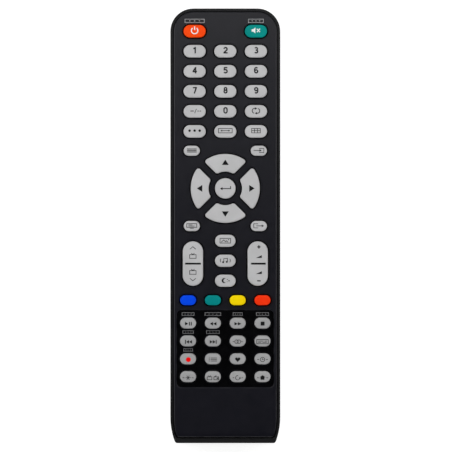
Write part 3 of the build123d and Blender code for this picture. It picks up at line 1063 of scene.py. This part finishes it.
cellShape = {
    "diameter": 10.5,          # mm
    "length": 44.5,
    "steps": 64,
    "nubDiameter": 3.8,
    "nubLength": 0.9,
    "nubSoftness": 0.35,
    "nubSteps": 3,
    "endSoftness": 0.5,        # mm, radius of the jacket's ends
    "endSteps": 4,
    "foldWidth": 0.7,          # mm, how far the jacket folds over each end
    "endDrop": 0.22,           # mm, how deep the steel lies inside the fold
    "ringWidth": 0.9,          # mm, the crimped ring inside it
    "bandLength": 8.5,         # mm, the pale band at the end with the nub
}


def makeCell():
    # lies along the case with its nub towards the head
    radius, nub = cellShape["diameter"] / 2 * mm, cellShape["nubDiameter"] / 2 * mm
    can = (cellShape["length"] - cellShape["nubLength"]) * mm
    band = can - cellShape["bandLength"] * mm
    bpy.ops.mesh.primitive_cylinder_add(
        vertices=cellShape["steps"], radius=radius, depth=can, end_fill_type="NGON",
        location=(0, can / 2, 0), rotation=(-math.pi / 2, 0, 0))
    cell = bpy.context.object
    applyPlace(cell)

    def isRound(edge):
        start, end = endsOf(cell, edge)
        return abs(start.y - end.y) < can / 2

    bevel(cell, isRound, cellShape["endSoftness"] * mm, cellShape["endSteps"])
    pickAll(cell)
    bpy.ops.mesh.bisect(plane_co=(0, band, 0), plane_no=(0, 1, 0))
    drop = cellShape["endDrop"] * mm
    fold = radius - (cellShape["endSoftness"] + cellShape["foldWidth"]) * mm
    ends = ((-1, cellShape["ringWidth"] * mm, drop), (1, fold - nub, drop + cellShape["nubLength"] * mm))
    for end, ring, rise in ends:
        pick(cell, "FACE", lambda face: face.normal.y * end > facing["up"]
             and len(face.vertices) == cellShape["steps"])
        bpy.ops.mesh.inset(thickness=cellShape["foldWidth"] * mm)
        extrude(y=-end * drop)
        bpy.ops.mesh.inset(thickness=ring)
        extrude(y=end * rise)
    clearSelection()
    overCan = can + cellShape["nubLength"] / 2 * mm
    bevel(cell, lambda edge: all(end.y > overCan for end in endsOf(cell, edge)),
          cellShape["nubSoftness"] * mm, cellShape["nubSteps"])
    setFinish(cell, "cellJacket", "springSteel", "cellBand")
    for face in cell.data.polygons:
        inside = math.hypot(face.center.x, face.center.z) < fold + hair
        face.material_index = 1 if inside else 2 if face.center.y > band else 0
    return cell


def makeCells():
    low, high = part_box("batteries")
    across = high.x - cellShape["diameter"] / 2 * mm
    level = (low.z + high.z) / 2
    forward = makeCell()
    backward = copyOf(forward, "rightCell")
    forward.name = "leftCell"
    backward.rotation_euler = (0, 0, math.pi)
    applyPlace(backward)
    moved(forward, -across, high.y - cellShape["length"] * mm, level)
    moved(backward, across, low.y + cellShape["length"] * mm, level)
    for cell in (forward, backward):
        done(cell)
        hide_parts("batteries")
        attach(cell, "case")


makeCells()
print("cells modelled")


# Printed marks: digits, and plain signs in the place of words; lengths in mm from the middle of a key

printShape = {
    "thickness": 0.04,         # mm
    "fine": 0.27,              # mm, the width of a thin line
    "strong": 0.36,
    "bold": 0.50,
    "digit": 0.58,
    "digitScale": 1.12,
    "digitPlace": (0.1, 0.42),   # mm, from the middle of its key
    "turnStep": 15,            # degrees between the points of an arc
    "strokeLift": 0.012,       # mm, before a stroke is pressed flat
    "liftSteps": 8,            # how many strokes before the lift starts again
    "aerialGap": 0.05,         # mm, between a television and its aerial
    "tagDot": 0.17,            # radius of a dot on a tag, as a share of the tag's height
    "tagDotPlace": 0.25,       # how far the outer dots are from its middle, as a share of its width
}


def onCircle(x, y, radius, degrees):
    angles = [math.radians(angle) for angle in degrees]
    return [(x + radius * math.cos(angle), y + radius * math.sin(angle)) for angle in angles]


def cornersOf(x, y, width, height):
    left, right, low, high = x - width / 2, x + width / 2, y - height / 2, y + height / 2
    return [(left, low), (right, low), (right, high), (left, high)]


def line(*points, width="fine"):
    # straight strokes from point to point; each runs on a little at a corner
    ink = printShape[width]
    closed = points[0] == points[-1]
    strokes = []
    for index, (start, end) in enumerate(zip(points, points[1:])):
        start, end = Vector(start), Vector(end)
        more = (end - start).normalized() * ink / 2
        first = start - more if closed or index > 0 else start
        last = end + more if closed or index < len(points) - 2 else end
        strokes.append(("stroke", [first, last], ink))
    return strokes


def rules(left, right, *heights, width="fine"):
    # level lines, one at each height
    signs = []
    for y in heights:
        signs += line((left, y), (right, y), width=width)
    return signs


def dashes(y, inner, outer):
    # one on each side
    return rules(-outer, -inner, y) + rules(inner, outer, y)


def arc(x, y, radius, start=0, end=360, width="fine"):
    count = max(2, round((end - start) / printShape["turnStep"]))
    degrees = [start + (end - start) * step / count for step in range(count + 1)]
    points = [Vector(point) for point in onCircle(x, y, radius, degrees)]
    return [("stroke", points, printShape[width])]


def frameOf(x, y, width, height):
    corners = cornersOf(x, y, width, height)
    return line(*corners, corners[0])


def filled(*points):
    return [("fill", [Vector(point) for point in points], 0)]


def dots(radius, *places):
    signs = []
    for x, y in places:
        signs += filled(*onCircle(x, y, radius, range(0, 360, printShape["turnStep"])))
    return signs


def block(x, y, width, height):
    return filled(*cornersOf(x, y, width, height))


def wedge(x, y, length, width, turn=0):
    # a triangle whose tip points to the right, then turned
    turned = Matrix.Rotation(math.radians(turn), 2)
    corners = ((-length / 2, -width / 2), (length / 2, 0), (-length / 2, width / 2))
    return filled(*(Vector((x, y)) + turned @ Vector(corner) for corner in corners))


def wedges(y, length, width, *places, turn=0):
    signs = []
    for x in places:
        signs += wedge(x, y, length, width, turn)
    return signs


def crescent(x, y, radius, biteSize=0.78, biteShift=0.5):
    # a disc with a smaller one taken out of its right side
    outer = onCircle(x, y, radius, range(50, 311, 20))
    inner = onCircle(x + biteShift * radius, y, biteSize * radius, range(280, 79, -20))
    return filled(*outer, *inner)


def heart(x, y, size):
    # the usual heart curve, which is 32 wide
    points = []
    for angle in range(0, 360, printShape["turnStep"]):
        a = math.radians(angle)
        across = 16 * math.sin(a) ** 3
        up = 13 * math.cos(a) - 5 * math.cos(2 * a) - 2 * math.cos(3 * a) - math.cos(4 * a)
        points.append((x - across * size / 32, y + up * size / 32))
    return filled(*points)


def television(x, y, width, height, across, rise):
    # a frame, and an aerial that goes across and up on both sides
    low = y + height / 2 + printShape["aerialGap"]
    aerial = line((x - across, low + rise), (x, low), (x + across, low + rise))
    return frameOf(x, y, width, height) + aerial


def label(width, height):
    # a light tag above a key: a frame with three dots in it
    reach, radius = printShape["tagDotPlace"] * width, printShape["tagDot"] * height
    return frameOf(0, 0, width, height) + dots(radius, (-reach, 0), (0, 0), (reach, 0))


keySigns = {
    "power_key": arc(0, 0.25, 1.4, 128, 412, "bold") + line((0, 0.45), (0, 2.1), width="bold"),
    "mute_key": filled((-1.9, -0.2), (-1.2, -0.2), (-0.25, -1.0), (-0.25, 1.6), (-1.2, 0.8), (-1.9, 0.8))
        + line((0.4, -0.4), (1.7, 1.0), width="bold") + line((0.4, 1.0), (1.7, -0.4), width="bold"),
    "dash_key": rules(-1.85, -0.4, 0.1, width="strong") + line((0, -0.85), (0.8, 1.1))
        + rules(1.2, 1.85, 0.1, width="strong") + rules(2.15, 2.8, 0.1, width="strong"),
    "recall_key": arc(-0.6, 0.2, 1.05, 75, 255, "strong") + wedge(0.05, 1.22, 1.0, 1.1)
        + arc(0.6, 0.2, 1.05, -105, 75, "strong") + wedge(-0.05, -0.82, 1.0, 1.1, 180),
    "function_key": dots(0.55, (-2.2, 0.3), (0, 0.3), (2.2, 0.3)),
    "aspect_key": frameOf(0, 0.3, 6.0, 1.9) + rules(-1.5, 1.5, 0.3)
        + wedge(1.75, 0.3, 0.8, 0.9) + wedge(-1.75, 0.3, 0.8, 0.9, 180),
    "guide_key": frameOf(0, 0.3, 3.8, 1.9) + rules(-1.9, 1.9, 0.3)
        + line((-0.65, -0.65), (-0.65, 1.25)) + line((0.65, -0.65), (0.65, 1.25)),
    "menu_key": rules(-2.1, 2.1, 0.75, 0.1, -0.55, width="strong"),
    "input_key": line((0.1, 1.0), (2.2, 1.0), (2.2, -0.8), (0.1, -0.8)) + rules(-2.3, 0.3, 0.1)
        + wedge(0.75, 0.1, 1.0, 1.1),
    "display_key": frameOf(0, 0.25, 4.4, 1.6) + rules(-1.5, 0.3, 0.5) + rules(-1.5, 1.2, 0.0)
        + rules(-0.9, 0.9, -0.95),
    "exit_key": line((-0.3, 1.0), (-2.2, 1.0), (-2.2, -0.8), (-0.3, -0.8)) + rules(-1.1, 1.4, 0.1)
        + wedge(1.75, 0.1, 1.0, 1.1),
    "enter_key": line((2.3, 1.0), (2.3, -0.1), (-1.3, -0.1), width="strong")
        + wedge(-1.75, -0.1, 1.1, 1.4, 180),
    "picture_mode_key": frameOf(0, 0.05, 4.6, 2.0) + dots(0.22, (1.35, 0.5))
        + line((-1.8, -0.6), (-0.7, 0.4), (0.1, -0.35), (0.6, 0.05), (1.2, -0.6)),
    "sound_mode_key": dots(0.42, (-0.95, -0.6), (0.65, -0.45))
        + line((-0.65, -0.6), (-0.65, 0.95), (0.95, 1.1), (0.95, -0.45))
        + arc(0.9, 0.15, 1.3, -35, 35) + arc(-0.9, 0.15, 1.3, 145, 215),
    "sleep_key": crescent(-0.5, 0.1, 1.1) + dots(0.22, (0.9, 0.6)) + dots(0.3, (1.6, 0.0))
        + dots(0.16, (0.8, -0.4)),
    "up_key": wedge(0, 0.2, 2.35, 3.05, 90),
    "down_key": wedge(0, 0, 2.35, 3.05, 270),
    "left_key": wedge(0, 0, 2.35, 3.05, 180),
    "right_key": wedge(0.4, 0, 2.35, 3.05),
    "play_pause_key": wedge(-0.65, -0.2, 1.4, 1.65) + block(0.6, -0.2, 0.42, 1.6)
        + block(1.4, -0.2, 0.42, 1.6),
    "rewind_key": wedges(-0.25, 1.45, 1.6, -0.65, 0.85, turn=180),
    "fast_forward_key": wedges(-0.25, 1.45, 1.5, -0.7, 0.8),
    "stop_key": block(0.05, -0.15, 1.7, 1.7),
    "previous_key": block(-1.15, -0.35, 0.4, 1.8) + wedges(-0.35, 1.25, 1.6, -0.2, 1.1, turn=180),
    "next_key": wedges(-0.35, 1.25, 1.6, -0.75, 0.55) + block(1.45, -0.35, 0.36, 1.8),
    "audio_key": arc(-0.5, -0.25, 0.78) + arc(0.5, -0.25, 0.78) + dashes(-0.25, 1.55, 2.2),
    "subtitle_key": frameOf(0, -0.25, 5.0, 1.8) + rules(-1.9, 0.4, 0.0) + rules(0.9, 1.9, 0.0)
        + rules(-1.9, -0.6, -0.55) + rules(-0.1, 1.9, -0.55),
    "record_key": dots(1.05, (0.15, -0.3)),
    "list_key": dots(0.2, (-1.6, 0.4), (-1.6, -0.25), (-1.6, -0.9)) + rules(-1.0, 1.8, 0.4, -0.25, -0.9),
    "favourite_key": heart(0, -0.2, 2.3),
    "timeshift_key": arc(0, -0.25, 0.95) + line((0, 0.3), (0, -0.25), (0.45, -0.25))
        + dashes(-0.25, 1.5, 2.3),
    "freeze_key": rules(-1.1, 1.1, -0.4) + line((-0.55, -1.35), (0.55, 0.55))
        + line((-0.55, 0.55), (0.55, -1.35)) + dashes(-0.4, 1.6, 2.4),
    "tv_radio_key": television(-1.45, -0.65, 2.0, 1.3, 0.55, 0.5) + frameOf(1.45, -0.65, 2.0, 1.3)
        + dots(0.32, (1.9, -0.65)) + line((0.6, 0.0), (1.6, 0.55)),
    "auto_key": arc(0, -0.4, 0.95, 75, 345) + wedge(0.98, -0.35, 0.8, 0.9, 90)
        + rules(-2.2, -1.5, -0.4) + rules(1.7, 2.3, -0.4),
    "home_key": wedge(0, 0.25, 0.95, 2.7, 90) + block(0, -0.75, 1.7, 1.05) + dashes(-0.4, 1.6, 2.4),
    "channel_rocker": line((-1.3, 6.3), (0, 7.4), (1.3, 6.3)) + television(0, 3.1, 2.8, 1.6, 0.7, 0.6)
        + block(0.05, 0, 6.9, 0.8) + television(0, -3.85, 2.8, 1.6, 0.7, 0.6)
        + line((-1.3, -6.4), (0, -7.5), (1.3, -6.4)),
    "volume_rocker": rules(-0.2, 1.2, 7.3, width="bold") + line((0.5, 6.6), (0.5, 8.0), width="bold")
        + filled((-0.8, 2.5), (1.8, 2.5), (1.8, 3.7)) + block(0.3, 0, 6.4, 0.8)
        + filled((-0.8, -4.5), (1.8, -4.5), (1.8, -3.3))
        + rules(-0.25, 1.25, -7.5, width="bold"),
}


def stem(*points):
    scale = printShape["digitScale"]
    return line(*((x * scale, y * scale) for x, y in points), width="digit")


def bowl(x, y, radius, start=0, end=360):
    scale = printShape["digitScale"]
    return arc(x * scale, y * scale, radius * scale, start, end, "digit")


digitSigns = {
    "0": bowl(0, 0.42, 0.6, 0, 180) + bowl(0, -0.42, 0.6, 180, 360)
        + stem((-0.6, 0.42), (-0.6, -0.42)) + stem((0.6, 0.42), (0.6, -0.42)),
    "1": stem((0.14, -1.25), (0.14, 1.25)) + stem((0.2, 0.98), (-0.55, 0.5)),
    "2": bowl(0, 0.42, 0.6, -30, 170) + stem((0.6, 0.2), (-0.62, -1.0))
        + stem((-0.83, -1.02), (0.83, -1.02)),
    "3": bowl(0, 0.54, 0.48, -90, 155) + bowl(0, -0.47, 0.55, -155, 90)
        + stem((-0.2, 0.07), (0.05, 0.07)),
    "4": stem((0.3, -1.25), (0.3, 1.25)) + stem((0.3, 1.1), (-0.68, -0.45))
        + stem((-0.88, -0.5), (0.82, -0.5)),
    "5": stem((-0.58, 1.02), (0.72, 1.02)) + stem((-0.42, 1.1), (-0.52, -0.05))
        + bowl(0, -0.39, 0.63, -155, 130),
    "6": bowl(0, -0.44, 0.58) + bowl(0.05, 0.37, 0.65, 45, 180) + stem((-0.6, 0.4), (-0.58, -0.44)),
    "7": stem((-0.76, 1.02), (0.78, 1.02)) + stem((0.58, 1.05), (-0.22, -1.25)),
    "8": bowl(0, 0.54, 0.48) + bowl(0, -0.46, 0.56),
    "9": bowl(0, 0.44, 0.58) + bowl(-0.05, -0.37, 0.65, 225, 360) + stem((0.6, -0.4), (0.58, 0.44)),
}
faceTags = {
    # key: width and height of its tag, and how far above the key's middle it is, in mm
    "power_key": (8.4, 1.5, 4.54),
    "mute_key": (6.5, 1.5, 4.54),
    "play_pause_key": (5.2, 1.2, 3.95),
    "rewind_key": (6.8, 1.2, 3.95),
    "fast_forward_key": (4.0, 1.2, 3.95),
    "stop_key": (5.3, 1.2, 3.95),
    "previous_key": (4.6, 1.2, 3.9),
    "next_key": (5.6, 1.2, 3.9),
    "record_key": (3.9, 1.1, 3.9),
}
signInks = {"power_key": "inkWhite", "mute_key": "inkWhite", "record_key": "inkRed"}


def addOutline(curve, points, closed, lift=0):
    spline = curve.splines.new("POLY")
    spline.points.add(len(points) - 1)
    for target, point in zip(spline.points, points):
        target.co = (point.x * mm, point.y * mm, lift, 1)
    spline.use_cyclic_u = closed


def meshOf(curve):
    piece = linked(curve.name, curve)
    select(piece)
    bpy.ops.object.convert(target="MESH")
    return piece


def strokeMesh(strokes, width):
    # lines of one width, as tubes that are pressed flat
    curve = bpy.data.curves.new("strokes", "CURVE")
    curve.dimensions = "3D"
    curve.bevel_depth = width / 2 * mm
    curve.bevel_resolution = 1
    curve.use_fill_caps = True
    for index, points in enumerate(strokes):
        closed = (points[0] - points[-1]).length < hair / mm
        # where strokes cross, one is a hair higher
        lift = printShape["strokeLift"] * (index % printShape["liftSteps"]) * mm
        addOutline(curve, points[:-1] if closed else points, closed, lift)
    piece = meshOf(curve)
    stretch(piece, lambda point: True, (1, 1, printShape["thickness"] / width))
    return piece


def fillMesh(fills):
    # filled outlines, as thin plates
    curve = bpy.data.curves.new("fills", "CURVE")
    curve.dimensions = "2D"
    curve.fill_mode = "BOTH"
    curve.extrude = printShape["thickness"] / 2 * mm
    for points in fills:
        addOutline(curve, points, True)
    return meshOf(curve)


def printed(signs, name, place, height, ink, body):
    # joins the signs of one place and lays them on a surface
    strokes, fills = {}, []
    for kind, points, width in signs:
        if kind == "stroke":
            strokes.setdefault(width, []).append(points)
        else:
            fills.append(points)
    parts = [strokeMesh(strokes[width], width) for width in sorted(strokes)]
    if fills:
        parts.append(fillMesh(fills))
    mark = joined(parts)
    mark.name = name
    moved(mark, *place, height - extent(mark.data.vertices)[1].z)
    pickAll(mark)
    bpy.ops.mesh.normals_make_consistent(inside=False)
    clearSelection()
    setFinish(mark, ink)
    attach(mark, body)


def printKeys():
    for name in caps:
        signs = keySigns.get(name)
        title = name.replace("_key", "Sign").replace("_rocker", "Sign")
        place = Vector(capMiddle(name))
        if name in armTurns:
            upwards = Matrix.Rotation(math.radians(armTurns[name]), 2) @ Vector((0, armMiddle))
            place = Vector(padMiddle) + upwards * mm
        if name.startswith("digit"):
            signs, title = digitSigns[name.split("_")[1]], name.replace("_key", "Digit")
            place += Vector(printShape["digitPlace"]) * mm
        if signs:
            printed(signs, title, place, keyTop, signInks.get(name, "inkBlack"), name)


def printFace():
    # light tags above some of the keys
    for name, (width, height, above) in faceTags.items():
        x, y = capMiddle(name)
        level, ink = (panelFloor, "inkDim") if name in panelKeys else (plateTop, "inkPale")
        printed(label(width, height), name.replace("_key", "Tag"), (x, y + above * mm),
                level + printShape["thickness"] / 2 * mm, ink, "case")


printKeys()
printFace()
print("marks printed")
